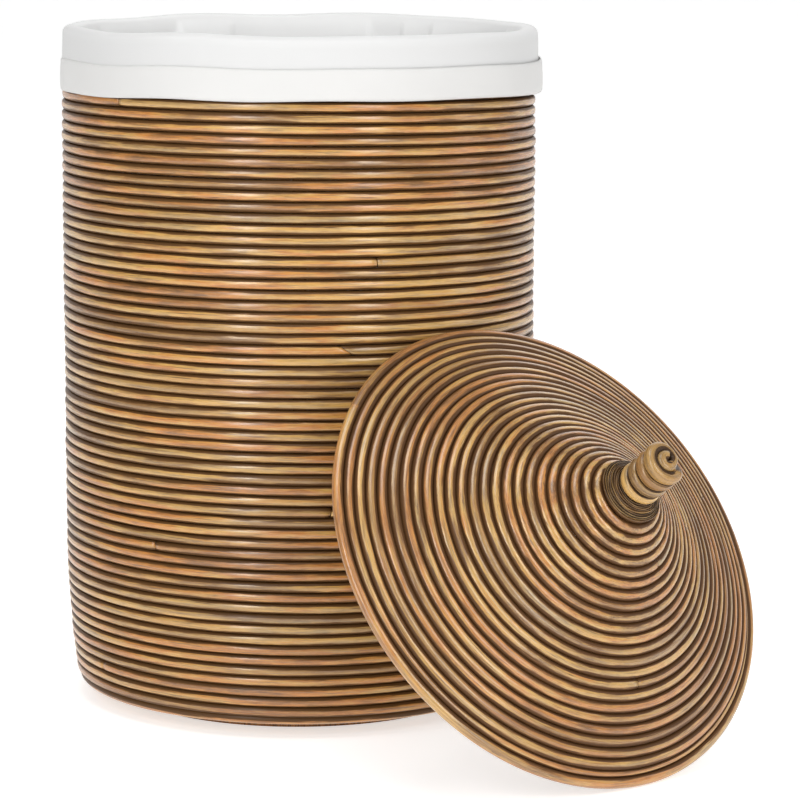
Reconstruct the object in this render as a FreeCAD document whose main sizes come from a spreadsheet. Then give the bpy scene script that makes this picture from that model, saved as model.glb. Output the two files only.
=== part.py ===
"""Tall round laundry basket of coiled rattan pole, with a fabric liner and a conical knobbed lid.

Millimetres, +Z up. The origin is the middle of the foot ring's underside, on the floor.
The basket stands on its foot ring. The lid is off, leaning on the floor and on the wall, with its
axis pointing forward (-Y), right (+X) and up. Each sub-part is one object and one STEP file.

Every coil of pole is drawn as level courses: hoops of eight-sided section, as wide across their
flats as the pole is thick, so that a course bears flat on the next one.
"""
import FreeCAD
import Part
import math
import os

Vector = FreeCAD.Vector
Rotation = FreeCAD.Rotation
Placement = FreeCAD.Placement

Z_AXIS = Vector(0, 0, 1)
SECTION_SIDES = 8
HALF_SIDE_ANGLE = 180.0 / SECTION_SIDES

# Courses of the wall that one pole makes, from the lowest pole up
WALL_POLE_COURSES = [4, 4, 4, 5, 4, 5, 4, 5, 4, 4, 5, 5, 5, 5]
# Courses of the flat base coil, from its outer edge in
BASE_POLE_COURSES = [6, 7, 7]
# Courses of the lid's cone inside its rim hoop, from the rim to the knob
LID_POLE_COURSES = [4, 4, 5, 5, 6]

doc = FreeCAD.newDocument("LaundryBasket")
sheet = doc.addObject("Spreadsheet::Sheet", "Sheet")

DRIVING_DIMENSIONS = [
    # alias, value, meaning
    ("pole_pitch", 8.68, "height of one course of the wall, and the pole's thickness"),
    ("pole_gap", 0.1, "gap left between one pole and the next"),
    ("wall_radius", 195.5, "axis to the middle of the wall's pole"),
    ("first_course_z", 13.1, "middle of the lowest course"),
    ("heel_courses", 13, "courses over which the wall draws in to the base"),
    ("heel_inset", 9.5, "how far the lowest course is drawn in"),
    ("foot_radius", 143.5, "middle of the foot ring"),
    ("foot_width", 14, "foot ring, radially"),
    ("foot_height", 8.6, "foot ring, from the floor up"),
    ("batten_width", 22, "battens on the base, inside"),
    ("batten_thickness", 6, "battens on the base, inside"),
    ("batten_length", 340, "longest batten"),
    ("rib_count", 6, "upright ribs inside the wall"),
    ("rib_width", 11, "ribs, along the wall"),
    ("rib_thickness", 5, "ribs, radially"),
    ("rib_bottom_z", 132, "lower end of the ribs, above the heel"),
    ("rib_top_z", 548, "upper end of the ribs"),
    ("nails_per_rib", 7, "nails through each rib"),
    ("nail_radius", 0.8, "nail shank"),
    ("nail_head_radius", 2.2, "nail head"),
    ("nail_length", 9.5, "nail, without its head"),
    ("cloth", 1.6, "thickness of the liner's cloth with its loft"),
    ("bag_radius", 181.6, "outside of the liner's bag"),
    ("bag_bottom_z", 24.4, "underside of the liner's floor"),
    ("cuff_radius", 200.7, "inside of the turned-down cuff"),
    ("cuff_bottom_z", 513, "lower edge of the cuff"),
    ("cuff_crest_gap", 0.5, "room between the wall's top course and the cloth"),
    ("cuff_crest", 3.8, "thickness of the cloth folded over the rim"),
    ("hem_height", 24, "hem band round the cuff"),
    ("hem_thickness", 1.7, "hem band, radially"),
    ("elastic_height", 8, "elastic in the hem"),
    ("elastic_thickness", 0.6, "elastic, radially"),
    ("lid_rim_radius", 193.1, "middle of the lid's rim hoop"),
    ("lid_pitch", 8.6, "distance from one course of the cone to the next"),
    ("lid_slope_rim", 27, "slope of the cone beside the rim, degrees"),
    ("lid_slope_knob", 42, "slope of the cone beside the knob, degrees"),
    ("lid_tilt", 55.76, "angle between the lid's axis and the vertical, degrees"),
    ("lid_heading", 37.2, "way the lid's axis points, degrees from -Y towards +X"),
    ("lid_bearing", 38.5, "way from the basket to the lid, degrees from -Y towards +X"),
    ("lid_distance", 314.6, "basket's axis to the middle of the lid's rim, level"),
    ("lid_middle_z", 164.7, "height of the middle of the lid's rim"),
    ("seat_radius", 173, "middle of the seat ring under the lid"),
    ("seat_section", 8.4, "seat ring's pole"),
    ("lid_rib_width", 11, "ribs under the cone"),
    ("lid_rib_thickness", 4.5, "ribs under the cone"),
    ("knob_pitch", 10.7, "height of one turn of the knob's coil"),
    ("knob_turn_radius", 12.5, "middle of the knob's turns"),
    ("knob_base_z", 118.5, "underside of the knob's lowest turn, above the lid's rim"),
    ("knob_core_radius", 6.9, "dowel inside the knob"),
    ("eye_height", 4.2, "end of the pole that curls in on top of the dowel"),
    ("pith_radius", 1.8, "hollow in the end of that pole"),
    ("neck_radius", 13.3, "binding round the knob's neck"),
    ("flange_radius", 22, "wooden washer under the top of the cone"),
    ("flange_drop", 4.9, "top course of the cone, at its middle, down to that washer"),
    ("flange_thickness", 6, "wooden washer under the top of the cone"),
    ("screw_radius", 2, "knob screw's shank"),
    ("screw_length", 38, "knob screw's shank"),
    ("screw_head_radius", 4.5, "knob screw's head"),
]


def fill_sheet():
    """Write the driving dimensions: alias, value and meaning in three columns."""
    for row, (alias, value, meaning) in enumerate(DRIVING_DIMENSIONS, start=1):
        sheet.set("A%d" % row, alias)
        sheet.set("B%d" % row, str(value))
        sheet.set("C%d" % row, meaning)
        sheet.setAlias("B%d" % row, alias)
    doc.recompute()


def value(alias):
    """The number in a named cell."""
    return float(sheet.get(alias))


def bind(thing, **expressions):
    """Bind properties of an object to cells; a double underscore stands for a dot."""
    for name, expression in expressions.items():
        thing.setExpression(name.replace("__", "."), str(expression))
    return thing


def label(thing, name):
    """Name a finished sub-part: its Label is its file's name."""
    thing.Label = name
    subparts.append(thing)
    return thing


def seat_on_lid(thing):
    """Give a piece of the lid the lid's leaning place: its own +Z turns to the lid's axis."""
    bind(thing,
         Placement__Base__x="Sheet.lid_distance * sin(Sheet.lid_bearing)",
         Placement__Base__y="-Sheet.lid_distance * cos(Sheet.lid_bearing)",
         Placement__Base__z="Sheet.lid_middle_z",
         Placement__Rotation__Axis__x="cos(Sheet.lid_heading)",
         Placement__Rotation__Axis__y="sin(Sheet.lid_heading)",
         Placement__Rotation__Axis__z="0",
         Placement__Rotation__Angle="Sheet.lid_tilt")
    return thing


def hoop(name, radius, height, thickness, slope=0.0):
    """One course: an eight-sided section revolved about Z, its flats turned to a slope."""
    section = doc.addObject("Part::RegularPolygon", name + "_section")
    section.Polygon = SECTION_SIDES
    section.Placement = Placement(Vector(0, 0, 0),
                                  Rotation(Vector(1, 0, 0), 90) * Rotation(Z_AXIS, HALF_SIDE_ANGLE - slope))
    bind(section,
         Circumradius="(%s) / (2 * cos(%g))" % (thickness, HALF_SIDE_ANGLE),
         Placement__Base__x=radius,
         Placement__Base__z=height)
    ring = doc.addObject("Part::Revolution", name)
    ring.Source = section
    ring.Axis = Z_AXIS
    ring.Angle = 360
    ring.Solid = True
    return ring


def joined(name, pieces):
    """Courses that bear on each other, as one solid."""
    whole = doc.addObject("Part::MultiFuse", name)
    whole.Shapes = pieces
    return whole


def tube(name, outer, inner, bottom, height):
    """An upright ring: the difference of two cylinders."""
    body = doc.addObject("Part::Cylinder", name + "_outside")
    bind(body, Radius=outer, Height=height, Placement__Base__z=bottom)
    hollow = doc.addObject("Part::Cylinder", name + "_inside")
    bind(hollow, Radius=inner, Height="(%s) + 2" % height, Placement__Base__z="(%s) - 1" % bottom)
    ring = doc.addObject("Part::Cut", name)
    ring.Base = body
    ring.Tool = hollow
    return ring


# ---------------------------------------------------------------- basket

def make_wall():
    """The wall: poles laid course on course, the lowest courses drawn in to a rounded heel."""
    course = 0
    for number, count in enumerate(WALL_POLE_COURSES, start=1):
        name = "wall_pole_%02d" % number
        hoops = []
        for turn in range(count):
            radius = "Sheet.wall_radius"
            if course < value("heel_courses"):
                radius += (" - Sheet.heel_inset * ((Sheet.heel_courses - %d) / Sheet.heel_courses)^1.5" % course)
            height = ("Sheet.first_course_z + %d * Sheet.pole_pitch + %d * Sheet.pole_gap"
                      % (course, number - 1))
            hoops.append(hoop("%s_course_%d" % (name, turn + 1), radius, height, "Sheet.pole_pitch"))
            course += 1
        label(joined(name, hoops), name)
    return course


def make_base():
    """The flat coil that closes the basket, level with the wall's lowest course."""
    course = 1
    for number, count in enumerate(BASE_POLE_COURSES, start=1):
        name = "base_pole_%02d" % number
        hoops = []
        for turn in range(count):
            radius = ("Sheet.wall_radius - Sheet.heel_inset - %d * Sheet.pole_pitch - %d * Sheet.pole_gap"
                      % (course, number))
            hoops.append(hoop("%s_course_%d" % (name, turn + 1), radius, "Sheet.first_course_z",
                              "Sheet.pole_pitch"))
            course += 1
        label(joined(name, hoops), name)
    eye = doc.addObject("Part::Cylinder", "base_eye")
    bind(eye,
         Radius=("Sheet.wall_radius - Sheet.heel_inset - %.1f * Sheet.pole_pitch - %d * Sheet.pole_gap"
                 % (course - 0.5, len(BASE_POLE_COURSES) + 1)),
         Height="Sheet.pole_pitch",
         Placement__Base__z="Sheet.first_course_z - Sheet.pole_pitch / 2")
    label(eye, "base_eye")


def make_foot():
    """The foot ring: a flat-planed ring under the base that the basket stands on."""
    label(tube("foot", "Sheet.foot_radius + Sheet.foot_width / 2",
               "Sheet.foot_radius - Sheet.foot_width / 2", "0", "Sheet.foot_height"), "foot_ring")


def make_battens():
    """Three battens across the base inside: one whole, and two half ones that meet it square."""
    top_of_coil = "Sheet.first_course_z + Sheet.pole_pitch / 2 + 0.05"
    half_length = "(Sheet.batten_length - Sheet.batten_width) / 2 - 0.1"
    places = [
        ("base_batten_long", "Sheet.batten_length", "-Sheet.batten_length / 2"),
        ("base_batten_left", half_length, "-Sheet.batten_length / 2"),
        ("base_batten_right", half_length, "Sheet.batten_width / 2 + 0.1"),
    ]
    for name, length, start in places:
        batten = doc.addObject("Part::Box", name)
        along_y = name == "base_batten_long"
        bind(batten,
             Length="Sheet.batten_width" if along_y else length,
             Width=length if along_y else "Sheet.batten_width",
             Height="Sheet.batten_thickness",
             Placement__Base__x="-Sheet.batten_width / 2" if along_y else start,
             Placement__Base__y=start if along_y else "-Sheet.batten_width / 2",
             Placement__Base__z=top_of_coil)
        label(batten, name)


def rib_angle(number):
    """Degrees round from +X at which an upright rib stands."""
    return (number - 0.5) * 360.0 / value("rib_count")


def rib_inner_face():
    """Distance from the axis to the inner face of the upright ribs."""
    return value("wall_radius") - value("pole_pitch") / 2 - 0.7 - value("rib_thickness")


def make_wall_ribs():
    """Upright ribs of split rattan inside the wall, which keep its courses in line."""
    for number in range(1, int(value("rib_count")) + 1):
        name = "wall_rib_%d" % number
        rib = doc.addObject("Part::Box", name)
        bind(rib,
             Length="Sheet.rib_thickness",
             Width="Sheet.rib_width",
             Height="Sheet.rib_top_z - Sheet.rib_bottom_z")
        face = rib_inner_face()
        place = Placement(Vector(face, -value("rib_width") / 2, value("rib_bottom_z")), Rotation())
        rib.Placement = Placement(Vector(), Rotation(Z_AXIS, rib_angle(number))) * place
        label(rib, name)


def nail(point, direction):
    """A nail driven from a point along a direction, its head on the near side."""
    head_thickness = 0.7
    shank = Part.makeCylinder(value("nail_radius"), value("nail_length"), point, direction)
    head = Part.makeCylinder(value("nail_head_radius"), head_thickness,
                             point - direction * head_thickness, direction)
    return shank.fuse(head)


def make_wall_nails():
    """Nails through every rib into the courses behind it, one node for the whole set."""
    nails = []
    count = int(value("nails_per_rib"))
    last_course = sum(WALL_POLE_COURSES) - 3
    first_course = int(value("heel_courses")) + 3
    poles_below = [sum(WALL_POLE_COURSES[:k + 1]) for k in range(len(WALL_POLE_COURSES))]
    for number in range(1, int(value("rib_count")) + 1):
        angle = math.radians(rib_angle(number))
        outward = Vector(math.cos(angle), math.sin(angle), 0)
        for step in range(count):
            course = first_course + round(step * (last_course - first_course) / (count - 1))
            gaps_below = sum(1 for top in poles_below if top <= course)
            height = (value("first_course_z") + course * value("pole_pitch")
                      + gaps_below * value("pole_gap"))
            nails.append(nail(outward * rib_inner_face() + Vector(0, 0, height), outward))
    group = doc.addObject("Part::Feature", "wall_nails")
    group.Shape = Part.makeCompound(nails)
    group.Placement = Placement()
    label(group, "wall_nails")


# ---------------------------------------------------------------- liner

def make_liner(wall_courses):
    """The fabric liner: a bag inside, a cuff turned down outside, a hem band with elastic in it."""
    crest_bottom = ("(Sheet.first_course_z + %g * Sheet.pole_pitch + %d * Sheet.pole_gap"
                    " + Sheet.cuff_crest_gap)" % (wall_courses - 0.5, len(WALL_POLE_COURSES) - 1))
    bag = tube("liner_bag_wall", "Sheet.bag_radius", "Sheet.bag_radius - Sheet.cloth",
               "Sheet.bag_bottom_z", "%s - Sheet.bag_bottom_z" % crest_bottom)
    bag_floor = doc.addObject("Part::Cylinder", "liner_bag_floor")
    bind(bag_floor, Radius="Sheet.bag_radius - Sheet.cloth / 2", Height="Sheet.cloth",
         Placement__Base__z="Sheet.bag_bottom_z")
    label(joined("liner_bag", [bag, bag_floor]), "liner_bag")

    outside = "Sheet.cuff_radius + Sheet.cloth"
    skirt = tube("liner_cuff_skirt", outside, "Sheet.cuff_radius", "Sheet.cuff_bottom_z",
                 "%s - Sheet.cuff_bottom_z" % crest_bottom)
    crest = tube("liner_cuff_crest", outside, "Sheet.bag_radius - Sheet.cloth", crest_bottom,
                 "Sheet.cuff_crest")
    label(joined("liner_cuff", [skirt, crest]), "liner_cuff")

    band = tube("liner_hem_band", outside + " + Sheet.hem_thickness", outside + " + 0.02",
                "Sheet.cuff_bottom_z", "Sheet.hem_height")
    channel_bottom = "Sheet.cuff_bottom_z + (Sheet.hem_height - Sheet.elastic_height) / 2"
    channel = tube("liner_hem_channel", outside + " + 0.12 + Sheet.elastic_thickness", outside,
                   channel_bottom + " - 0.1", "Sheet.elastic_height + 0.2")
    hem = doc.addObject("Part::Cut", "liner_hem")
    hem.Base = band
    hem.Tool = channel
    label(hem, "liner_hem")
    label(tube("liner_elastic_band", outside + " + 0.06 + Sheet.elastic_thickness", outside + " + 0.06",
               channel_bottom, "Sheet.elastic_height"), "liner_elastic")


# ---------------------------------------------------------------- lid

def lid_slope(course):
    """Slope of the cone at a course, in degrees: steeper towards the knob."""
    last = sum(LID_POLE_COURSES)
    rise = value("lid_slope_knob") - value("lid_slope_rim")
    return value("lid_slope_rim") + rise * (course / last) ** 2


def cone_course(course, poles_passed):
    """Radius and height of a course's middle, counted from the rim hoop as course 0."""
    radius = value("lid_rim_radius")
    height = 0.0
    for step in range(course):
        slope = math.radians(lid_slope(step + 0.5))
        radius -= value("lid_pitch") * math.cos(slope)
        height += value("lid_pitch") * math.sin(slope)
    slope = math.radians(lid_slope(course))
    gap = (poles_passed + 1) * 2 * value("pole_gap")
    return radius - gap * math.cos(slope), height + gap * math.sin(slope)


def make_lid_cone():
    """The rim hoop, and the poles coiled in and up from it to the knob."""
    rim = hoop("lid_rim_hoop", "Sheet.lid_rim_radius", "0", "Sheet.pole_pitch", lid_slope(0))
    label(seat_on_lid(rim), "lid_rim_hoop")
    course = 1
    for number, count in enumerate(LID_POLE_COURSES, start=1):
        name = "lid_pole_%02d" % number
        hoops = []
        for turn in range(count):
            radius, height = cone_course(course, number - 1)
            hoops.append(hoop("%s_course_%d" % (name, turn + 1), "%.3f" % radius, "%.3f" % height,
                              "Sheet.pole_pitch", lid_slope(course)))
            course += 1
        label(seat_on_lid(joined(name, hoops)), name)


def make_seat_ring():
    """Two turns of pole under the cone that drop inside the basket's mouth and centre the lid."""
    hoops = []
    for turn in range(2):
        height = "-0.9 - %d * Sheet.seat_section" % turn
        hoops.append(hoop("lid_seat_turn_%d" % (turn + 1), "Sheet.seat_radius", height,
                          "Sheet.seat_section"))
    label(seat_on_lid(joined("lid_seat_ring", hoops)), "lid_seat_ring")


def make_lid_ribs():
    """Four ribs of split rattan that follow the underside of the cone."""
    first_course = 4
    last_course = sum(LID_POLE_COURSES) - 3
    pole_radius = value("pole_pitch") / 2 / math.cos(math.radians(HALF_SIDE_ANGLE))
    reach = []
    for course in range(first_course, last_course + 1, 2):
        radius, height = cone_course(course, len(LID_POLE_COURSES) - 1)
        slope = math.radians(lid_slope(course))
        for depth in (pole_radius + 0.6, pole_radius + 0.6 + value("lid_rib_thickness")):
            reach.append((radius - depth * math.sin(slope), height - depth * math.cos(slope)))
    outline = reach[0::2] + reach[1::2][::-1]
    for number in range(1, 5):
        name = "lid_rib_%d" % number
        angle = math.radians(90.0 * number - 45.0)
        outward = Vector(math.cos(angle), math.sin(angle), 0)
        sideways = Z_AXIS.cross(outward)
        corners = [outward * radius + Z_AXIS * height - sideways * (value("lid_rib_width") / 2)
                   for radius, height in outline]
        profile = Part.Face(Part.makePolygon(corners + [corners[0]]))
        rib = doc.addObject("Part::Feature", name)
        rib.Shape = profile.extrude(sideways * value("lid_rib_width"))
        label(seat_on_lid(rib), name)


def make_knob():
    """The knob: four turns of thicker pole round a dowel, held from below by a screw."""
    turns = 4
    hoops = []
    for turn in range(turns):
        height = "Sheet.knob_base_z + %g * Sheet.knob_pitch" % (turn + 0.5)
        hoops.append(hoop("knob_turn_%d" % (turn + 1), "Sheet.knob_turn_radius", height,
                          "Sheet.knob_pitch"))
    label(seat_on_lid(joined("knob_coil", hoops)), "knob_coil")

    apex = cone_course(sum(LID_POLE_COURSES) - 1, len(LID_POLE_COURSES) - 1)[1]
    flange_top = apex - value("flange_drop")
    core = doc.addObject("Part::Cylinder", "knob_dowel_blank")
    bind(core, Radius="Sheet.knob_core_radius",
         Height="Sheet.knob_base_z + %g * Sheet.knob_pitch - %.3f" % (turns - 0.4, flange_top),
         Placement__Base__z="%.3f" % flange_top)
    flange = doc.addObject("Part::Cylinder", "knob_flange_blank")
    bind(flange, Radius="Sheet.flange_radius", Height="Sheet.flange_thickness",
         Placement__Base__z="%.3f - Sheet.flange_thickness" % flange_top)

    shank = doc.addObject("Part::Cylinder", "knob_screw_shank")
    screw_bottom = "(%.3f - Sheet.flange_thickness)" % flange_top
    bind(shank, Radius="Sheet.screw_radius", Height="Sheet.screw_length",
         Placement__Base__z=screw_bottom)
    head = doc.addObject("Part::Cylinder", "knob_screw_head")
    bind(head, Radius="Sheet.screw_head_radius", Height="2.2",
         Placement__Base__z=screw_bottom + " - 2.2")
    screw = joined("knob_screw", [shank, head])

    bored = []
    for piece in (core, flange):
        hole = doc.addObject("Part::Cylinder", piece.Name + "_hole")
        bind(hole, Radius="Sheet.screw_radius + 0.02", Height="Sheet.screw_length + 0.1",
             Placement__Base__z=screw_bottom)
        drilled = doc.addObject("Part::Cut", piece.Name + "_drilled")
        drilled.Base = piece
        drilled.Tool = hole
        bored.append(drilled)
    label(seat_on_lid(bored[0]), "knob_core")
    label(seat_on_lid(bored[1]), "knob_flange")
    label(seat_on_lid(screw), "knob_screw")

    neck = tube("knob_neck", "Sheet.neck_radius", "Sheet.knob_core_radius + 0.1",
                "%.3f + 0.1" % flange_top, "Sheet.knob_base_z - 0.1 - (%.3f + 0.1)" % flange_top)
    label(seat_on_lid(neck), "knob_neck_binding")

    core_top = "(Sheet.knob_base_z + %g * Sheet.knob_pitch)" % (turns - 0.4)
    eye = doc.addObject("Part::Cylinder", "knob_eye_blank")
    bind(eye, Radius="Sheet.knob_core_radius", Height="Sheet.eye_height",
         Placement__Base__z=core_top + " + Sheet.pole_gap")
    pith = doc.addObject("Part::Cylinder", "knob_eye_pith")
    bind(pith, Radius="Sheet.pith_radius", Height="Sheet.eye_height",
         Placement__Base__z=core_top + " + 0.7 * Sheet.eye_height")
    dimpled = doc.addObject("Part::Cut", "knob_eye_dimpled")
    dimpled.Base = eye
    dimpled.Tool = pith
    label(seat_on_lid(dimpled), "knob_eye")


# ---------------------------------------------------------------- check and write

def check_and_write():
    """Stop on a failed object or a bad shape; otherwise write one STEP file for each sub-part."""
    doc.recompute()
    for thing in doc.Objects:
        if "Invalid" in thing.State or "Error" in thing.State:
            raise RuntimeError("failed object: " + thing.Name)
    os.makedirs("parts", exist_ok=True)
    for thing in subparts:
        shape = thing.Shape
        if shape.isNull() or not shape.isValid() or shape.Volume <= 0:
            raise RuntimeError("bad shape: " + thing.Label)
    for thing in subparts:
        thing.Shape.exportStep("parts/%s.step" % thing.Label)
        print("%-20s %9.0f mm3  %d solid(s)" % (thing.Label, thing.Shape.Volume, len(thing.Shape.Solids)))


subparts = []
fill_sheet()
make_liner(make_wall())
make_base()
make_foot()
make_battens()
make_wall_ribs()
make_wall_nails()
make_lid_cone()
make_seat_ring()
make_lid_ribs()
make_knob()
check_and_write()
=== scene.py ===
"""Tall round laundry basket of coiled rattan pole, with its cotton liner in place and its conical
lid, taken off, leaning on the front of the wall.

Metres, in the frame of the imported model. Each pole is one continuous length wound in a helix; the
liner is one sheet turned down over the rim, with a hem band sewn on.
"""
import bpy
import math
import numpy as np
from mathutils import Matrix, Vector


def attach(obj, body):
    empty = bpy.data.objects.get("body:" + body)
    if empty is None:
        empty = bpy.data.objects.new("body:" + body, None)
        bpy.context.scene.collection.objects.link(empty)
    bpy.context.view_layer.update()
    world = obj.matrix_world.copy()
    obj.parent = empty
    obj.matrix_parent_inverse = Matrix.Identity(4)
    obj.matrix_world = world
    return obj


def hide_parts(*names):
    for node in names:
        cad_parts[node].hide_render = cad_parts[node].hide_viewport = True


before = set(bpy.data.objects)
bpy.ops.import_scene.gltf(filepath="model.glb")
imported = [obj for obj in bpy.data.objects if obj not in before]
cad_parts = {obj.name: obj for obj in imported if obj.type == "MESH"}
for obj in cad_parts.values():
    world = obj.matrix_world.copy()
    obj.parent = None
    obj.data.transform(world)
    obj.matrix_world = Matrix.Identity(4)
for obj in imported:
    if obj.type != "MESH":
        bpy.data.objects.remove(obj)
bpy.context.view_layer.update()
scene = bpy.context.scene

TAU = 2 * math.pi
MM = 0.001


# ---------------------------------------------------------------- camera, floor and light

def make_camera():
    """The camera of the photograph: a long lens from in front, a little above the rim."""
    tilt, yaw, roll = 0.14911, 0.03278, -0.00452  # radians
    place = (0, -2.62265, 0.64275)
    ahead = Vector((math.sin(yaw) * math.cos(tilt), math.cos(yaw) * math.cos(tilt), -math.sin(tilt)))
    level = Vector((math.cos(yaw), -math.sin(yaw), 0))
    upright = Vector((math.sin(yaw) * math.sin(tilt), math.cos(yaw) * math.sin(tilt), math.cos(tilt)))
    right = math.cos(roll) * level - math.sin(roll) * upright
    up = math.cos(roll) * upright + math.sin(roll) * level
    data = bpy.data.cameras.new("camera")
    data.sensor_width = 36
    data.lens = 139.26
    camera = bpy.data.objects.new("camera", data)
    turn = Matrix((right, up, -ahead)).transposed()
    camera.matrix_world = Matrix.Translation(place) @ turn.to_4x4()
    scene.collection.objects.link(camera)
    scene.camera = camera


def grid_mesh(name, points, wrap_rows=False, wrap_columns=True, caps=(False, False)):
    """A mesh through a grid of points, (rows, columns, 3), closed round either way if asked.
    A cap closes the first or the last row with a fan to its middle."""
    rows, columns = points.shape[:2]
    verts = points.reshape(-1, 3).tolist()
    row = np.arange(rows if wrap_rows else rows - 1)
    column = np.arange(columns if wrap_columns else columns - 1)
    i, j = np.meshgrid(row, column, indexing="ij")
    i2, j2 = (i + 1) % rows, (j + 1) % columns
    quads = np.stack([i * columns + j, i * columns + j2, i2 * columns + j2, i2 * columns + j], -1)
    faces = quads.reshape(-1, 4).tolist()
    for which, first in zip((0, 1), (0, (rows - 1) * columns)):
        if caps[which]:
            verts.append(points[0 if which == 0 else -1].mean(0).tolist())
            middle = len(verts) - 1
            for c in range(columns):
                a, b = first + c, first + (c + 1) % columns
                faces.append((b, a, middle) if which == 0 else (a, b, middle))
    mesh = bpy.data.meshes.new(name)
    mesh.from_pydata(verts, [], faces)
    mesh.polygons.foreach_set("use_smooth", [True] * len(faces))
    mesh.update()
    thing = bpy.data.objects.new(name, mesh)
    scene.collection.objects.link(thing)
    return thing


def attribute(thing, name, values):
    """Store a number or a vector at each point of a mesh."""
    values = np.asarray(values, dtype=np.float32)
    kind, field = ("FLOAT", "value") if values.ndim == 1 else ("FLOAT_VECTOR", "vector")
    layer = thing.data.attributes.new(name, kind, "POINT")
    padded = np.zeros((len(thing.data.vertices),) + values.shape[1:], np.float32)
    padded[:len(values)] = values
    extra = len(thing.data.vertices) - len(values)
    if extra:
        padded[len(values):] = values[-1]
    layer.data.foreach_set(field, padded.ravel())


def make_floor():
    """A pale floor that curves up into a pale wall far behind."""
    half, behind, bend = 9.0, 7.0, 3.0
    profile = [(-8.0, 0.0), (0.0, 0.0), (behind - bend, 0.0)]
    for step in range(1, 25):
        a = math.pi / 2 * step / 24
        profile.append((behind - bend + bend * math.sin(a), bend - bend * math.cos(a)))
    profile.append((behind, 9.0))
    points = np.array([[(x, y, z) for x in (-half, half)] for y, z in profile])
    floor = grid_mesh("floor", points, wrap_columns=False)
    shade = Nodes("floor_paint")
    shade.surface(base=(0.88, 0.88, 0.88), roughness=0.8)
    shade.shader.inputs["Emission Color"].default_value = (1, 1, 1, 1)
    shade.shader.inputs["Emission Strength"].default_value = 0.58
    floor.data.materials.append(shade.material)


def area_light(name, azimuth, elevation, distance, width, height, power):
    """A soft box aimed at the middle of the basket; azimuth is from the front, + to the right."""
    data = bpy.data.lights.new(name, "AREA")
    data.shape = "RECTANGLE"
    data.size, data.size_y = width, height
    data.energy = power
    light = bpy.data.objects.new(name, data)
    a, e = math.radians(azimuth), math.radians(elevation)
    away = Vector((math.sin(a) * math.cos(e), -math.cos(a) * math.cos(e), math.sin(e)))
    light.location = Vector((0, 0, 0.3)) + away * distance
    light.rotation_euler = away.to_track_quat("Z", "Y").to_euler()
    scene.collection.objects.link(light)


def make_light():
    """White surroundings, a soft box each side of the camera, one overhead, a strip at
    the right and a fill behind."""
    scene.world = bpy.data.worlds.new("studio")
    scene.world.use_nodes = True
    background = scene.world.node_tree.nodes["Background"]
    background.inputs["Color"].default_value = (1, 1, 1, 1)
    background.inputs["Strength"].default_value = 0.25
    area_light("soft_box_left", -25.5, 21, 2.4, 0.45, 1.8, 21)
    area_light("soft_box_right", 33, 21, 2.4, 0.48, 1.7, 16)
    area_light("side_strip", 84, 14, 2.4, 0.5, 1.6, 5)
    area_light("rear_fill", 150, 38, 2.6, 1.4, 1.4, 7)
    area_light("overhead", -20, 76, 2.4, 1.2, 1.2, 20)
    scene.view_settings.view_transform = "Standard"
    scene.view_settings.look = "None"


# ---------------------------------------------------------------- materials

def srgb(red, green, blue):
    """A screen colour, 0 to 255, as the linear colour a shader takes."""
    linear = []
    for part in (red, green, blue):
        c = part / 255
        linear.append(c / 12.92 if c <= 0.04045 else ((c + 0.055) / 1.055) ** 2.4)
    return tuple(linear)


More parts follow.
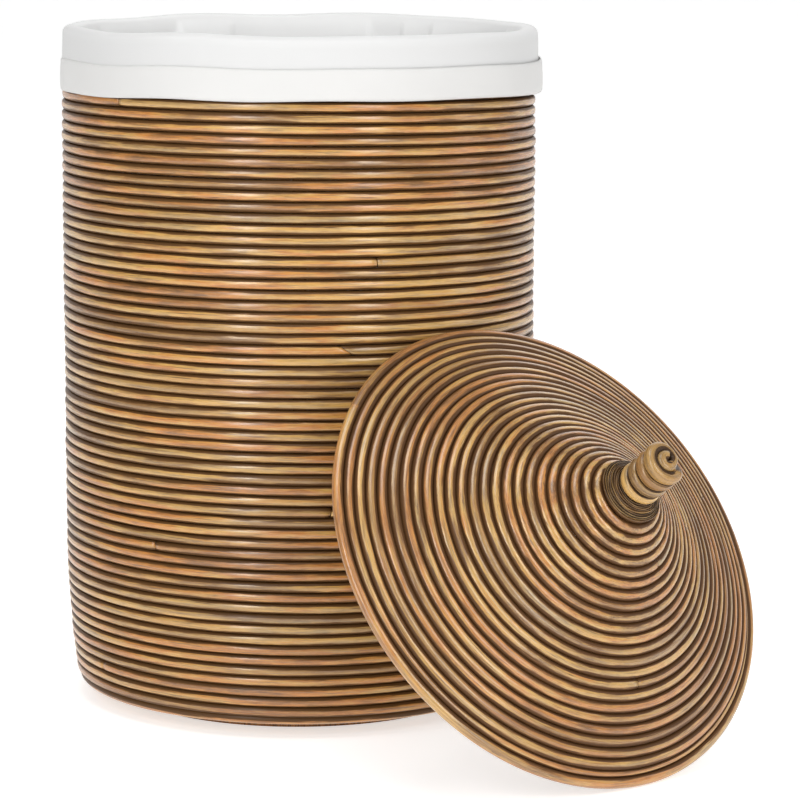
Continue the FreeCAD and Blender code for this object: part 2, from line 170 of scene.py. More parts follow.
class Nodes:
    """A material with short names for the nodes used here."""

    def __init__(self, name):
        self.material = bpy.data.materials.new(name)
        self.material.use_nodes = True
        self.tree = self.material.node_tree
        self.shader = self.tree.nodes["Principled BSDF"]

    def add(self, kind, **settings):
        node = self.tree.nodes.new(kind)
        for key, setting in settings.items():
            setattr(node, key, setting)
        return node

    def plug(self, socket, source):
        """Put a number, a vector or another node's output into a socket."""
        if isinstance(source, bpy.types.NodeSocket):
            self.tree.links.new(source, socket)
        elif isinstance(source, (tuple, list)) and len(source) == 3 and len(socket.default_value) == 4:
            socket.default_value = (*source, 1)
        else:
            socket.default_value = source

    def read(self, name, output="Fac"):
        return self.add("ShaderNodeAttribute", attribute_name=name).outputs[output]

    def math(self, operation, a, b=0.0):
        node = self.add("ShaderNodeMath", operation=operation)
        self.plug(node.inputs[0], a)
        self.plug(node.inputs[1], b)
        return node.outputs[0]

    def scaled(self, vector, factors):
        node = self.add("ShaderNodeVectorMath", operation="MULTIPLY")
        self.plug(node.inputs[0], vector)
        self.plug(node.inputs[1], factors)
        return node.outputs[0]

    def noise(self, vector, scale=1.0, detail=2.0, roughness=0.5):
        node = self.add("ShaderNodeTexNoise")
        self.plug(node.inputs["Vector"], vector)
        self.plug(node.inputs["Scale"], scale)
        self.plug(node.inputs["Detail"], detail)
        self.plug(node.inputs["Roughness"], roughness)
        return node.outputs["Fac"]

    def smooth(self, source, low, high, to_low=0.0, to_high=1.0):
        """Source, taken from low..high to to_low..to_high with soft ends."""
        node = self.add("ShaderNodeMapRange", interpolation_type="SMOOTHSTEP")
        for socket, given in zip(node.inputs, (source, low, high, to_low, to_high)):
            self.plug(socket, given)
        return node.outputs[0]

    def mix(self, factor, a, b):
        node = self.add("ShaderNodeMix", data_type="RGBA")
        self.plug(node.inputs["Factor"], factor)
        self.plug(node.inputs[6], a)
        self.plug(node.inputs[7], b)
        return node.outputs[2]

    def ramp(self, factor, stops):
        node = self.add("ShaderNodeValToRGB")
        points = node.color_ramp.elements
        while len(points) < len(stops):
            points.new(0.5)
        for point, (place, colour) in zip(points, stops):
            point.position = place
            point.color = (*colour, 1)
        self.plug(node.inputs["Fac"], factor)
        return node.outputs["Color"]

    def bump(self, height, distance, strength=1.0, under=None):
        node = self.add("ShaderNodeBump")
        node.inputs["Distance"].default_value = distance
        node.inputs["Strength"].default_value = strength
        self.plug(node.inputs["Height"], height)
        if under is not None:
            self.plug(node.inputs["Normal"], under)
        return node.outputs["Normal"]

    def surface(self, base, roughness=0.5, normal=None, coat=0.0, coat_roughness=0.1, metallic=0.0,
                specular=0.5, sheen=0.0):
        for name, source in (("Base Color", base), ("Roughness", roughness), ("Metallic", metallic),
                             ("Coat Weight", coat), ("Coat Roughness", coat_roughness),
                             ("Specular IOR Level", specular), ("Sheen Weight", sheen)):
            self.plug(self.shader.inputs[name], source)
        if normal is not None:
            self.plug(self.shader.inputs["Normal"], normal)


def rattan(name, golden, amber, brown, grey, dark, groove, coat=0.9):
    """Lacquered rattan pole: colour that wanders along the pole, fibre streaks, a dark band in the
    grooves that is partly real staining and partly painted shade, and a clear coat."""
    m = Nodes(name)
    grain = m.read("grain", "Vector")
    across = m.math("ABSOLUTE", m.read("across"))
    drift = m.math("SUBTRACT", m.noise(m.scaled(grain, (4.0, 30.0, 30.0)), 1.0, 3.0, 0.6), 0.5)
    mottle = m.math("SUBTRACT", m.noise(m.scaled(grain, (38.0, 260.0, 260.0)), 1.0, 3.0, 0.6), 0.5)
    place = m.math("ADD", m.math("MULTIPLY", drift, 1.5), m.math("ADD", m.read("tone"), 0.5))
    hue = m.math("ADD", place, m.math("MULTIPLY", mottle, 0.55))
    colour = m.ramp(hue, [(0.18, brown), (0.38, amber), (0.55, golden), (0.85, grey)])
    patch = m.noise(m.scaled(grain, (8.0, 120.0, 120.0)), 1.0, 4.0, 0.65)
    colour = m.mix(m.smooth(patch, 0.46, 0.68, 0.0, 0.8), colour, brown)
    row = m.noise(m.scaled(grain, (1.7, 8.0, 8.0)), 1.0, 1.0, 0.5)
    colour = m.mix(m.smooth(row, 0.50, 0.66, 0.0, 0.5), colour, brown)
    streak = m.noise(m.scaled(grain, (26.0, 900.0, 900.0)), 1.0, 3.0, 0.7)
    colour = m.mix(m.smooth(streak, 0.48, 0.74, 0.0, 0.8), colour, dark)
    fibre = m.noise(m.scaled(grain, (80.0, 2600.0, 2600.0)), 1.0, 2.0, 0.6)
    colour = m.mix(m.smooth(fibre, 0.52, 0.75, 0.0, 0.6), colour, golden)
    colour = m.mix(m.smooth(fibre, 0.50, 0.30, 0.0, 0.5), colour, brown)
    worn = m.math("MULTIPLY", m.smooth(patch, 0.42, 0.62), m.smooth(mottle, 0.0, 0.14))
    scratch = m.noise(m.scaled(grain, (130.0, 1900.0, 1900.0)), 1.0, 2.0, 0.6)
    scuff = m.math("MULTIPLY", worn, m.smooth(scratch, 0.54, 0.64))
    colour = m.mix(m.math("MULTIPLY", scuff, 0.75), colour, dark)
    # Dark band where the coils meet: partly real staining, partly painted shade; the clear coat is thinner
    # there.
    shift = m.math("MULTIPLY", m.math("SUBTRACT", streak, 0.5), 0.7)
    wide = m.math("MULTIPLY", m.math("SUBTRACT", patch, 0.5), 1.1)
    edge = m.math("ADD", m.math("ADD", across, shift), wide)
    stain_and_shade_mask = m.smooth(edge, groove[0], groove[1])
    uneven = m.smooth(fibre, 0.40, 0.64, 0.25, 0.75)
    colour = m.mix(stain_and_shade_mask, colour, m.mix(uneven, dark, brown))
    colour = m.mix(m.smooth(edge, groove[1] - 0.10, groove[1] + 0.14), colour, dark)
    ridges = m.bump(streak, 0.00030, 0.5)
    fine = m.bump(m.math("SUBTRACT", fibre, scuff), 0.00014, 0.6, ridges)
    gloss = m.smooth(streak, 0.3, 0.7, 0.20, 0.34)
    varnish = m.math("MULTIPLY", m.math("SUBTRACT", 1.0, m.math("MULTIPLY", stain_and_shade_mask, 0.85)), coat)
    m.surface(colour, roughness=0.5, normal=fine, coat=varnish, coat_roughness=gloss, specular=0.15)
    m.shader.inputs["Coat IOR"].default_value = 1.75
    return m.material


def cotton(name, colour, painted_shade=0.87):
    """Plain bleached cotton: a fine weave and slight unevenness of the yarn. Where the mesh marks it,
    on the liner's turned-down cuff, the colour is darkened as painted shade."""
    m = Nodes(name)
    place = m.add("ShaderNodeTexCoord").outputs["Object"]
    warp = m.noise(m.scaled(place, (2600.0, 2600.0, 300.0)), 1.0, 1.0, 0.5)
    weft = m.noise(m.scaled(place, (300.0, 300.0, 2600.0)), 1.0, 1.0, 0.5)
    yarn = m.math("ADD", warp, weft)
    cloud = m.noise(place, 18.0, 2.0, 0.5)
    shade = m.mix(m.smooth(cloud, 0.3, 0.7, 0.0, 0.25), colour, tuple(0.93 * c for c in colour))
    # Painted shade: the colour is scaled down where the cuff is marked.
    shade = m.mix(m.read("painted_shade"), shade, tuple(painted_shade * c for c in colour))
    m.surface(shade, roughness=0.85, normal=m.bump(yarn, 0.00015, 0.35), specular=0.2, sheen=0.15)
    return m.material


def split_cane(name, pale, dark):
    """Flat ribs and battens split from the pole, which take the same staining."""
    m = Nodes(name)
    place = m.add("ShaderNodeTexCoord").outputs["Object"]
    streak = m.noise(m.scaled(place, (700.0, 700.0, 26.0)), 1.0, 4.0, 0.65)
    patch = m.noise(place, 14.0, 3.0, 0.6)
    colour = m.mix(m.smooth(streak, 0.35, 0.7), pale, dark)
    colour = m.mix(m.smooth(patch, 0.45, 0.75, 0.0, 0.6), colour, dark)
    m.surface(colour, roughness=0.55, normal=m.bump(streak, 0.0003, 0.5), coat=0.1, coat_roughness=0.25,
              specular=0.2)
    return m.material


def steel(name):
    """Bright steel, a little tarnished."""
    m = Nodes(name)
    place = m.add("ShaderNodeTexCoord").outputs["Object"]
    wear = m.noise(place, 900.0, 2.0, 0.5)
    m.surface(m.mix(wear, (0.50, 0.49, 0.47), (0.24, 0.22, 0.20)), roughness=0.35, metallic=1.0)
    return m.material


# ---------------------------------------------------------------- the coil

PITCH = 0.0087
POLE_RADIUS = 0.00429
WALL_RADIUS = 0.1955
FIRST_COURSE_Z = 0.0131
END_ROUNDING = 0.0006
TOP_TURN = 62.0
HEEL_TURNS = 13.0
HEEL_SLOPE = math.radians(83)
CORNER_START, CORNER_END = -0.65, 1.0
EYE_TURN = -20.6


def ripple(angle, along, seed, lobes=5, terms=7, rate=0.35):
    """Gentle noise, about -1 to 1, that is smooth round the basket and from course to course."""
    draw = np.random.default_rng(seed)
    total = np.zeros_like(angle + along)
    for _ in range(terms):
        lobe = draw.integers(1, lobes + 1)
        total = total + draw.uniform(0.4, 1.0) * np.sin(lobe * angle + draw.uniform(0, TAU)
                                                        + draw.uniform(-rate, rate) * along)
    return total / math.sqrt(terms) / 0.72


def wander(along, seed, rates=(0.7, 5.0), terms=9):
    """Noise, about -1 to 1, along one pole."""
    draw = np.random.default_rng(seed)
    total = np.zeros_like(along)
    for _ in range(terms):
        total = total + np.sin(along * draw.uniform(*rates) + draw.uniform(0, TAU))
    return total / math.sqrt(terms) * 1.2


def wall_slope(turns):
    """Slope of the wall's section at a turn of the coil: 0 in the base, a right angle above the heel."""
    below = np.clip((HEEL_TURNS - turns) / HEEL_TURNS, 0, 1)
    heel = math.pi / 2 - (math.pi / 2 - HEEL_SLOPE) * np.sqrt(below)
    corner = HEEL_SLOPE * np.clip((turns - CORNER_START) / (CORNER_END - CORNER_START), 0, 1)
    return np.where(turns > CORNER_END, heel, corner)


TURN_STEP = 0.004
TURNS = np.arange(-23.0, TOP_TURN + 0.5, TURN_STEP)
SLOPES = wall_slope(TURNS)


def running_sum(steps, at_top):
    """Add up steps along TURNS so that the sum is at_top at the top turn."""
    total = np.concatenate([[0], np.cumsum((steps[1:] + steps[:-1]) / 2 * np.diff(TURNS))])
    return total - np.interp(TOP_TURN, TURNS, total) + at_top


COIL_R = running_sum(PITCH * np.cos(SLOPES), WALL_RADIUS)
COIL_Z = running_sum(PITCH * np.sin(SLOPES), FIRST_COURSE_Z + PITCH * TOP_TURN)


def wall_path(turns):
    """Middle, outward and upward directions of the wall's and the base's coil at a turn. The top
    courses are drawn in, so that the cuff goes over them."""
    angle = -math.pi / 2 - TAU * turns
    slope = np.interp(turns, TURNS, SLOPES)
    upright = np.clip(turns / 3, 0, 1)
    under_cuff = 0.0015 * np.clip((turns - 55.5) / 3, 0, 1)
    drawn_in = under_cuff + 0.0011 * np.clip((turns - 57.4) / 1.2, 0, 1)
    radius = np.interp(turns, TURNS, COIL_R) - drawn_in
    uneven = 0.00028 * ripple(angle, turns, 11) + 0.00016 * ripple(angle, turns, 12, 9, 9, 2.2)
    radius = radius + upright * uneven
    height = np.interp(turns, TURNS, COIL_Z) + upright * 0.00035 * ripple(angle, turns, 13, 4, 7, 0.25)
    round_x, round_y = np.cos(angle), np.sin(angle)
    middle = np.stack([radius * round_x, radius * round_y, height], -1)
    outward = np.stack([np.sin(slope) * round_x, np.sin(slope) * round_y, -np.cos(slope)], -1)
    upward = np.stack([np.cos(slope) * round_x, np.cos(slope) * round_y, np.sin(slope)], -1)
    return middle, outward, upward


def pole(name, path, start, end, radius, seed, per_turn=260, around=16, skew=(0.0, 0.0), turn_length=1.2,
         thin=None, closed=False, rough=0.022, squareness=0.84, tone=None, stain_and_shade_at=None):
    """A length of round pole along a path from one turn to another. Skew slants each end; thin
    gives the share of the thickness at a turn, and the last argument where the dark groove band, partly
    staining and partly painted shade, lies round the pole."""
    count = max(12, int(abs(end - start) * per_turn))
    turns = np.linspace(start, end, count + 1)
    if closed:
        turns = turns[:-1]
    sense = 1 if end > start else -1
    angles = np.linspace(0, TAU, around, endpoint=False)
    across = np.sign(np.sin(angles)) * np.abs(np.sin(angles)) ** squareness
    across = across[None, :]
    fade = 2.5 / per_turn
    lean = skew[0] * np.exp(-np.abs(turns - start) / fade) + skew[1] * np.exp(-np.abs(turns - end) / fade)
    grid = turns[:, None] + lean[:, None] * across / turn_length * radius
    scale = np.ones_like(turns)
    if not closed:
        round_end = END_ROUNDING / turn_length
        first = np.array([start + sense * s * round_end for s in (0.0, 0.15, 0.45)])
        turns = np.concatenate([first, turns[1:-1], (start + end) - first[::-1]])
        grid = turns[:, None] + np.interp(turns, np.linspace(start, end, count + 1)[::sense],
                                          lean[::sense])[:, None] * across / turn_length * radius
        inset = np.minimum(np.abs(turns - start), np.abs(turns - end)) / round_end
        scale = np.sqrt(np.clip(1 - 0.45 * (1 - np.clip(inset, 0, 1)) ** 2, 0, 1))
    middle, outward, upward = path(grid)
    share = thin(turns) if thin is not None else np.ones_like(turns)
    swell = (1 + rough * wander(turns * 6.0, seed)) * scale
    wide = radius * swell * (0.35 + 0.65 * share if thin is not None else 1.0)
    tall = radius * swell * share * (1 + 0.012 * wander(turns * 9.0, seed + 500))
    flat = (np.sign(np.cos(angles)) * np.abs(np.cos(angles)) ** squareness)[None, :]
    sideways = outward * (wide[:, None] * flat)[..., None]
    points = middle + sideways + upward * (tall[:, None] * across)[..., None]
    thing = grid_mesh(name, points, wrap_rows=closed, caps=(not closed, not closed))
    along = grid * turn_length + seed * 3.7
    grain = np.stack([along, radius * flat + 0 * along, radius * across + 0 * along], -1)
    attribute(thing, "grain", grain.reshape(-1, 3))
    # The groove band's place round the pole: partly staining, partly painted shade.
    seam = stain_and_shade_at(turns[:, None], flat, across) if stain_and_shade_at else across
    attribute(thing, "across", (seam + 0 * along).reshape(-1))
    if tone is None:
        tone = np.random.default_rng(seed + 90).uniform(-0.09, 0.09)
    attribute(thing, "tone", (tone + 0 * along).reshape(-1))
    return thing


# Turns of the coil at which one pole of the wall ends and the next starts
WALL_POLE_ENDS = [CORNER_START, 3.16, 7.6, 11.5, 16.1, 19.98, 25.4, 29.5, 34.97, 38.6, 42.95, 47.3,
                  52.5, 57.13, TOP_TURN]
JOINT_SKEWS = [0, 0, 0.2, -0.6, 0.1, -0.2, 0.8, -0.5, 1.3, 0.6, 0.1, 0.9, -0.7, 0.05, 0]
JOINT_GAP = 0.00022


def make_wall(material):
    """The wall: one helix made of poles laid end to end."""
    for number in range(1, len(WALL_POLE_ENDS)):
        start, end = WALL_POLE_ENDS[number - 1], WALL_POLE_ENDS[number]
        piece = pole("coil_wall_%02d" % number, wall_path, start + JOINT_GAP, end - JOINT_GAP, POLE_RADIUS,
                     seed=number, skew=(JOINT_SKEWS[number - 1], JOINT_SKEWS[number]))
        piece.data.materials.append(material)
        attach(piece, "basket")
        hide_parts("wall_pole_%02d" % number)


def make_base(material):
    """The flat base: the same coil carried on inwards to an eye."""
    ends = [CORNER_START, -6.9, -13.8, EYE_TURN]
    for number in (1, 2, 3):
        nodes = ["base_pole_%02d" % number] + (["base_eye"] if number == 3 else [])
        start, end = ends[number - 1] - JOINT_GAP, ends[number] + JOINT_GAP
        piece = pole("coil_base_%02d" % number, wall_path, start, end, POLE_RADIUS,
                     seed=30 + number, per_turn=130, turn_length=0.8)
        piece.data.materials.append(material)
        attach(piece, "basket")
        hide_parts(*nodes)


# ---------------------------------------------------------------- the lid

LID_DISTANCE = 0.3146
LID_BEARING = math.radians(38.5)
LID_MIDDLE_Z = 0.1647
LID_TILT = math.radians(55.76)
LID_HEADING = math.radians(37.2)
LID_MIDDLE = Vector((LID_DISTANCE * math.sin(LID_BEARING), -LID_DISTANCE * math.cos(LID_BEARING),
                     LID_MIDDLE_Z))
LID_TURN = Matrix.Rotation(LID_TILT, 4, Vector((math.cos(LID_HEADING), math.sin(LID_HEADING), 0)))
LID_PLACE = Matrix.Translation(LID_MIDDLE) @ LID_TURN
LID_RIM_RADIUS = 0.1931
LID_PITCH = 0.0086
LID_COURSES = 24
LID_START = math.radians(170)
CONE_COURSES = np.arange(0.0, 27.0, TURN_STEP)
CONE_SLOPES = np.radians(27 + 15 * (np.minimum(CONE_COURSES, 25) / LID_COURSES) ** 2)
CONE_R = LID_RIM_RADIUS - LID_PITCH * TURN_STEP * (np.cumsum(np.cos(CONE_SLOPES)) - 1)
CONE_H = LID_PITCH * TURN_STEP * (np.cumsum(np.sin(CONE_SLOPES)) - 0.45)


def on_lid(points):
    """Points of the lid's own frame, in the basket's frame."""
    place = np.array(LID_PLACE)
    return points @ place[:3, :3].T + place[:3, 3]


def turned(vectors):
    """Directions of the lid's own frame, in the basket's frame."""
    return vectors @ np.array(LID_PLACE)[:3, :3].T


def cone_frame(courses, angle, extra_r=0.0, extra_h=0.0):
    """Middle, outward and upward directions on the cone at a course and an angle."""
    slope = np.interp(courses, CONE_COURSES, CONE_SLOPES)
    radius = np.interp(courses, CONE_COURSES, CONE_R) + extra_r
    height = np.interp(courses, CONE_COURSES, CONE_H) + extra_h
    round_x, round_y = np.cos(angle), np.sin(angle)
    middle = np.stack([radius * round_x, radius * round_y, height], -1)
    outward = np.stack([np.sin(slope) * round_x, np.sin(slope) * round_y, np.cos(slope)], -1)
    upward = np.stack([-np.cos(slope) * round_x, -np.cos(slope) * round_y, np.sin(slope)], -1)
    return on_lid(middle), turned(outward), turned(upward)


def lid_path(turns):
    """The lid's spiral; in its first turn it grows out of the seam beside the rim hoop."""
    angle = LID_START - TAU * turns
    courses = np.where(turns < 1, 0.5 + turns / 2, turns)
    lift = 0.00022 * ripple(angle, turns, 21) + 0.00012 * ripple(angle, turns, 22, 8, 8, 2.0)
    middle, outward, upward = cone_frame(courses, angle)
    return middle + outward * lift[..., None], outward, upward


def rim_path(turns):
    """The rim hoop."""
    return cone_frame(0 * turns, LID_START - TAU * turns)


def first_turn_share(turns):
    """The spiral's thickness: from nothing at its tip to the whole pole one turn later."""
    return np.clip(turns, 0.02, 1.0)


def hoop_stain_and_shade(turns, flat, across):
    """The rim hoop's outer edge has no neighbour, so next to no dark band of staining and painted shade."""
    return np.where(across < 0, 0.15 * across, across)


def make_lid(material):
    """The rim hoop and the cone."""
    lid_pole = LID_PITCH * 0.515
    rim = pole("lid_hoop", rim_path, 0, 1, LID_PITCH * 0.5, seed=60, per_turn=300, closed=True, rough=0.012,
               tone=-0.10, stain_and_shade_at=hoop_stain_and_shade)
    rim.data.materials.append(material)
    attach(rim, "lid")
    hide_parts("lid_rim_hoop")
    ends = [0.03, 4.35, 8.62, 13.4, 18.55, LID_COURSES + 0.3]
    for number in range(1, 6):
        shape = first_turn_share if number == 1 else None
        start, end = ends[number - 1] + JOINT_GAP, ends[number] - JOINT_GAP
        piece = pole("coil_lid_%02d" % number, lid_path, start, end, lid_pole, seed=60 + number,
                     per_turn=230 - 22 * number, thin=shape, turn_length=1.0)
        piece.data.materials.append(material)
        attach(piece, "lid")
        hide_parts("lid_pole_%02d" % number)


SEAT_RADIUS, SEAT_PITCH = 0.173, 0.0084


def seat_hoop_path(level):
    """One hoop of the seat ring."""
    def path(turns):
        angle = 1.0 - TAU * turns
        round_x, round_y = np.cos(angle), np.sin(angle)
        height = -0.0009 - SEAT_PITCH * level
        middle = np.stack([SEAT_RADIUS * round_x, SEAT_RADIUS * round_y, height + 0 * angle], -1)
        outward = np.stack([round_x, round_y, 0 * angle], -1)
        upward = np.stack([0 * angle, 0 * angle, 1 + 0 * angle], -1)
        return on_lid(middle), turned(outward), turned(upward)
    return path


def make_seat_ring(material):
    """Two hoops under the lid that drop inside the basket's mouth."""
    for level in (0, 1):
        piece = pole("seat_hoop_%d" % (level + 1), seat_hoop_path(level), 0.002, 0.998, SEAT_PITCH * 0.495,
                     seed=70 + level, per_turn=220, skew=(1.2, 1.2), turn_length=1.09)
        piece.data.materials.append(material)
        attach(piece, "lid")
        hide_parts("lid_seat_ring")


# ---------------------------------------------------------------- the knob

KNOB_BASE, KNOB_PITCH, KNOB_TURN_RADIUS = 0.1185, 0.0103, 0.0122
KNOB_TURNS, KNOB_END = 4, 4.66
CURL_RADIUS, CURL_RISE = 0.0043, 0.0034
KNOB_LEAN = (-0.0011, 0.0011, 0)
NECK_TURNS = 9


def round_frame(radius, height, angle):
    """Middle, outward and upward directions of a level turn about the lid's axis."""
    round_x, round_y, none = np.cos(angle), np.sin(angle), 0 * angle
    middle = np.stack([radius * round_x, radius * round_y, height + none], -1)
    outward = np.stack([round_x, round_y, none], -1)
    upward = np.stack([none, none, 1 + none], -1)
    return on_lid(middle), turned(outward), turned(upward)


def eased(amount):
    """0 to 1 with soft ends."""
    amount = np.clip(amount, 0, 1)
    return amount * amount * (3 - 2 * amount)


def knob_path(turns):
    """Four turns that climb in their last quarter, then the pole's end curls in on top. Below the
    first turn the pole comes up out of the neck, and the stack leans a little."""
    whole = np.clip(np.floor(turns), 0, KNOB_TURNS - 1)
    climb = np.where(turns < KNOB_TURNS - 0.3, eased((turns - whole - 0.72) / 0.28), 0)
    inward = eased((turns - KNOB_TURNS + 0.42) / 0.36)
    sunk = eased(-turns / 0.5)
    radius = KNOB_TURN_RADIUS - (KNOB_TURN_RADIUS - CURL_RADIUS) * inward + 0.0012 * sunk
    level = KNOB_PITCH * (whole + 0.5 + climb - 0.5 * sunk)
    angle = math.radians(-30) - TAU * turns
    middle, outward, upward = round_frame(radius, KNOB_BASE + level + CURL_RISE * inward, angle)
    lean = turned(np.array(KNOB_LEAN)) * (level / (KNOB_PITCH * KNOB_TURNS))[..., None]
    return middle + lean, outward, upward


def knob_share(turns):
    """The knob's pole is thinner at both its ends."""
    return 1 - 0.28 * eased((turns - 3.5) / 0.44) - 0.5 * eased((-turns - 0.2) / 0.3)


def knob_stain_and_painted_shade(turns, flat, across):
    """Dark places on the knob's pole: staining and painted shade in the seams, painted shade over the
    inner half of the top turn and down the sides of the curl, and the dark cut end of the curl."""
    top = eased((turns - KNOB_TURNS + 1.1) / 0.2)
    curl = eased((turns - KNOB_TURNS + 0.1) / 0.1)
    seam = np.where(across > 0, across * (1 - 0.8 * top), across)
    seam = np.where(across < 0, seam * (1 + 0.7 * curl), seam)
    # Painted shade in the shadowed gap between the top turn and the curl sunk inside it.
    inner_half_painted_shade = top * (1 - curl) * eased((0.2 - flat) / 0.3) * (across > -0.4)
    curl_side_painted_shade = curl * eased((0.05 - flat) / 0.25)
    end = eased((turns - KNOB_END + 0.035) / 0.02)
    return np.maximum(np.abs(seam), np.maximum(np.maximum(inner_half_painted_shade, curl_side_painted_shade), end))


def neck_path(turns):
    """Fine strands wound round the neck, which flares out over the top of the cone."""
    share = np.clip(turns / NECK_TURNS, 0, 1)
    angle = 2.0 - TAU * turns
    stray = 0.00045 * ripple(angle, turns, 25, 6, 7, 3.0)
    return round_frame(0.0262 - 0.0116 * share + stray, 0.1096 + 0.0085 * share ** 0.85 + stray / 2, angle)


def make_knob(material, strand):
    """The knob's coil, the end of its pole curled in on top, and the binding of its neck."""
    piece = pole("knob_turns", knob_path, -0.5, KNOB_END, KNOB_PITCH * 0.5, seed=80, per_turn=80, around=32,
                 turn_length=0.081, thin=knob_share, tone=0.05, squareness=0.92, stain_and_shade_at=knob_stain_and_painted_shade)
    piece.data.materials.append(material)
    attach(piece, "lid")
    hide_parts("knob_coil", "knob_eye")
    neck = pole("neck_strands", neck_path, 0, NECK_TURNS, 0.0008, seed=83, per_turn=72, around=8,
                turn_length=0.13)
    neck.data.materials.append(strand)
    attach(neck, "lid")


# ---------------------------------------------------------------- the liner

CUFF_BOTTOM = 0.5146
CUFF_RADIUS = 0.1993
HEM_START, HEM_END = 0.40, 1.02
CLOTH = 0.0006
BAG_RADIUS, BAG_FLOOR_RADIUS = 0.1806, 0.1805
FOLD_RISE = 0.008


def crest_height(angle):
    """Height of the cloth's fold over the rim: it stands a little higher at the back."""
    back = 0.5 + 0.5 * np.sin(angle)
    return 0.5642 + 0.0082 * back ** 1.2 + 0.0007 * ripple(angle, 0 * angle, 41, 9, 9, 0)


# Angle in degrees and how far in the cloth lies, in millimetres, along the bag's flat pleats
PLEATS = [(0, 1.0), (14, 3.6), (15, 0.6), (34, 2.6), (49, 4.6), (50.5, 0.8), (59, 3.4), (60.5, 1.0),
          (69, 1.4), (70.5, 6.2), (91, 2.2), (108, 1.2), (110, 4.2),
          (125, 6.4), (126.5, 0.8), (146, 2.6), (158, 4.2),
          (159.5, 0.8), (182, 3.0), (200, 1.2), (214, 5.0), (216, 1.0), (240, 3.2), (252, 5.6), (254, 1.0),
          (272, 2.4), (290, 1.0), (306, 5.2), (308, 0.8), (330, 3.0), (345, 1.4)]


def pleats(angle, share):
    """How far in the bag's cloth lies: pleats with sharp folds that slant and fade downwards."""
    knots = np.radians([knot[0] for knot in PLEATS])
    depths = np.array([knot[1] for knot in PLEATS]) * MM
    lean = (share - 1) * 0.5 * np.sin(knots * 5 + 1.0)
    order = np.argsort(knots + lean)
    return np.interp(angle, (knots + lean)[order], depths[order], period=TAU)


def cuff_point(angle, share, proud):
    """Radius and height of the cuff from its crest, 0, to its lower edge, 1; proud stands it out."""
    bottom = CUFF_BOTTOM + 0.0005 * ripple(angle, 0 * angle, 44, 12, 9, 0)
    top = crest_height(angle) - 0.009
    wave = 0.0004 * ripple(angle, share * 3 + 0 * angle, 43, 14, 10, 0.8)
    radius = CUFF_RADIUS + 0.0009 * share + 0.0011 * np.cos(angle) + wave * share + proud
    return radius, top + (bottom - top) * share


def liner_points(around=720):
    """The liner's middle surface: floor, wall, fold over the rim and cuff, on a grid."""
    angle = np.linspace(0, TAU, around, endpoint=False)
    crest = crest_height(angle)
    level = 0 * angle
    floor_z = 0.0253
    corner = 0.016
    profile = []
    for r in np.linspace(0.004, BAG_FLOOR_RADIUS - corner, 22):
        puff = 0.0022 * (1 + ripple(angle, level + r * 60, 46, 6, 8, 0.9)) * min(1, (0.18 - r) / 0.03)
        profile.append((r + level, floor_z + puff * min(1, r / 0.02)))
    for step in range(1, 7):
        a = math.pi / 2 * step / 6
        radius = BAG_FLOOR_RADIUS - corner + corner * math.sin(a)
        profile.append((radius + level, floor_z + corner * (1 - math.cos(a)) + level))
    foot = floor_z + corner
    for share in np.linspace(0.015, 1, 110):
        top_fade = 1 - 0.6 * eased((share - 0.98) / 0.02)
        foot_fade = min(1, share / 0.06)
        slack = 0.0011 * (1 + ripple(angle, level + share * 14, 42, 7, 9, 0.5)) * (1 - 0.5 * share)
        depth = (pleats(angle, share) * (0.55 + 0.45 * share) + slack) * top_fade * foot_fade
        radius = BAG_RADIUS + 0.0035 * eased((share - 0.9) / 0.1) - depth
        profile.append((radius, foot + (crest - FOLD_RISE - foot) * share))
    inner, outer = 0.1846, CUFF_RADIUS
    middle, half = (inner + outer) / 2, (outer - inner) / 2
    for step in range(1, 14):
        a = math.pi * (1 - step / 14)
        side = 0.0011 * np.cos(angle) * step / 14
        height = crest - FOLD_RISE + FOLD_RISE * math.sin(a) ** 0.7
        profile.append((middle + half * math.cos(a) + side, height))
    for share in np.linspace(0, 1, 26):
        profile.append(cuff_point(angle, share, 0))
    return np.array([np.stack([r * np.cos(angle), r * np.sin(angle), z + level], -1) for r, z in profile])


def thick_sheet(name, middle, thickness, floor=False):
    """A closed mesh of a thin sheet: a middle surface, its two faces and its free edges. With a
    floor the first row is small, and both faces are closed over it."""
    across = np.roll(middle, -1, 1) - np.roll(middle, 1, 1)
    down = np.gradient(middle, axis=0)
    normal = np.cross(down, across)
    normal /= np.maximum(np.linalg.norm(normal, axis=-1, keepdims=True), 1e-12)
    face, back = middle + normal * thickness / 2, middle - normal * thickness / 2
    return grid_mesh(name, np.concatenate([face, back[::-1]]), wrap_rows=not floor, caps=(floor, floor))


def make_liner(material):
    """The bag and its turned-down cuff."""
    points = liner_points()
    piece = thick_sheet("liner_cloth", points, CLOTH, floor=True)
    # Marks the turned-down cuff for the painted shade that darkens its cloth.
    share = np.clip((np.arange(len(points)) - (len(points) - 36)) / 10, 0, 1)
    both_sides = np.repeat(np.concatenate([share, share[::-1]]), points.shape[1])
    attribute(piece, "painted_shade", both_sides)
    piece.data.materials.append(material)
    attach(piece, "liner")
    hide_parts("liner_bag", "liner_cuff")


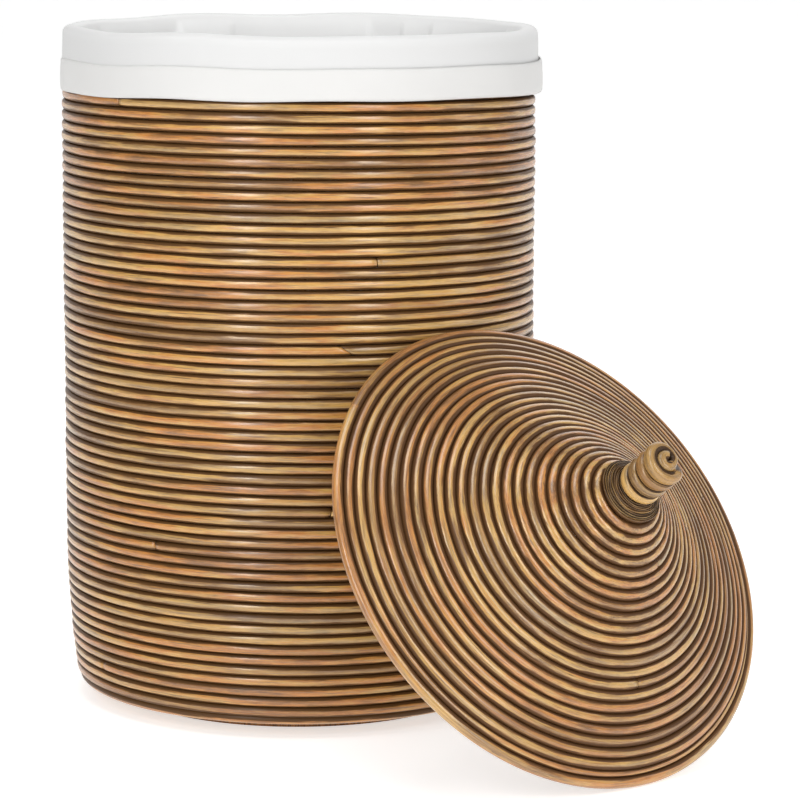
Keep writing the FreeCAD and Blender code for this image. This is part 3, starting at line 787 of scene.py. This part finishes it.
def make_hem(material, elastic):
    """The hem band sewn round the lower edge of the cuff, over the elastic."""
    angle = np.linspace(0, TAU, 720, endpoint=False)
    rows = []
    for step in np.linspace(0, 1, 15):
        edge = max(0, abs(step - 0.5) - 0.43) / 0.07
        radius, height = cuff_point(angle, HEM_START + (HEM_END - HEM_START) * step,
                                    0.0017 + 0.0005 * math.sin(math.pi * step) - 0.0009 * edge)
        radius = radius + 0.0009 * np.cos(angle)
        rows.append(np.stack([radius * np.cos(angle), radius * np.sin(angle), height], -1))
    hem_strip("liner_hem_band", rows, 0.0008, "liner_hem", material)
    rows = []
    for step in np.linspace(0, 1, 5):
        radius, height = cuff_point(angle, HEM_START + 0.2 + 0.16 * step, 0.0012)
        radius = radius + 0.0009 * np.cos(angle)
        rows.append(np.stack([radius * np.cos(angle), radius * np.sin(angle), height], -1))
    hem_strip("hem_elastic", rows, 0.0006, "liner_elastic", elastic)


def hem_strip(name, rows, thickness, node, material):
    """A strip that goes round in the hem."""
    piece = thick_sheet(name, np.array(rows), thickness)
    piece.data.materials.append(material)
    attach(piece, "liner")
    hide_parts(node)


# ---------------------------------------------------------------- put together

def finish_cad_nodes(cane, peel, wood, metal):
    """Give each carried-over CAD node its material."""
    choice = {"foot_ring": cane, "base_batten_": cane, "wall_rib_": cane, "lid_rib_": cane,
              "wall_nails": metal, "knob_screw": metal, "knob_core": wood,
              "knob_flange": wood, "knob_neck_binding": peel}
    for name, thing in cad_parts.items():
        for start, material in choice.items():
            if name.startswith(start):
                thing.data.materials.clear()
                thing.data.materials.append(material)


make_camera()
make_floor()
make_light()

# Each rattan's dark colour and groove range set the dark band at its grooves, partly staining and partly
# painted shade.
wall_rattan = rattan("rattan_wall", golden=srgb(206, 161, 87), amber=srgb(196, 127, 57),
                     brown=srgb(122, 82, 42), grey=srgb(164, 140, 96), dark=srgb(90, 61, 31),
                     groove=(0.40, 0.58))
lid_rattan = rattan("rattan_lid", golden=srgb(204, 161, 91), amber=srgb(194, 129, 65),
                    brown=srgb(122, 82, 46), grey=srgb(164, 142, 102), dark=srgb(86, 57, 31),
                    groove=(0.33, 0.54))
knob_rattan = rattan("rattan_knob", golden=srgb(212, 168, 98), amber=srgb(196, 142, 78),
                     brown=srgb(112, 78, 44), grey=srgb(190, 160, 108), dark=srgb(58, 40, 24),
                     groove=(0.66, 0.84), coat=0.6)
# The factor given darkens the liner's cuff, as painted shade.
white_cotton = cotton("cotton_white", (0.84, 0.84, 0.835), painted_shade=0.76)
# The hem band's cotton is the liner's white cotton darkened, as painted shade.
hem_cotton_painted_shade = cotton("cotton_hem", (0.665, 0.66, 0.648))

neck_peel = rattan("rattan_neck", golden=srgb(172, 134, 78), amber=srgb(112, 78, 42), brown=srgb(62, 44, 24),
                   grey=srgb(226, 200, 150), dark=srgb(48, 34, 20), groove=(0.7, 1.0), coat=0.3)

make_wall(wall_rattan)
make_base(wall_rattan)
make_lid(lid_rattan)
make_seat_ring(lid_rattan)
make_knob(knob_rattan, neck_peel)
make_liner(white_cotton)
make_hem(hem_cotton_painted_shade, cotton("elastic", (0.7, 0.7, 0.68)))
finish_cad_nodes(split_cane("cane_split", srgb(160, 110, 62), srgb(60, 38, 24)),
                 split_cane("cane_peel", srgb(120, 96, 60), srgb(40, 28, 20)),
                 split_cane("turned_wood", srgb(70, 48, 28), srgb(44, 30, 19)),
                 steel("steel"))
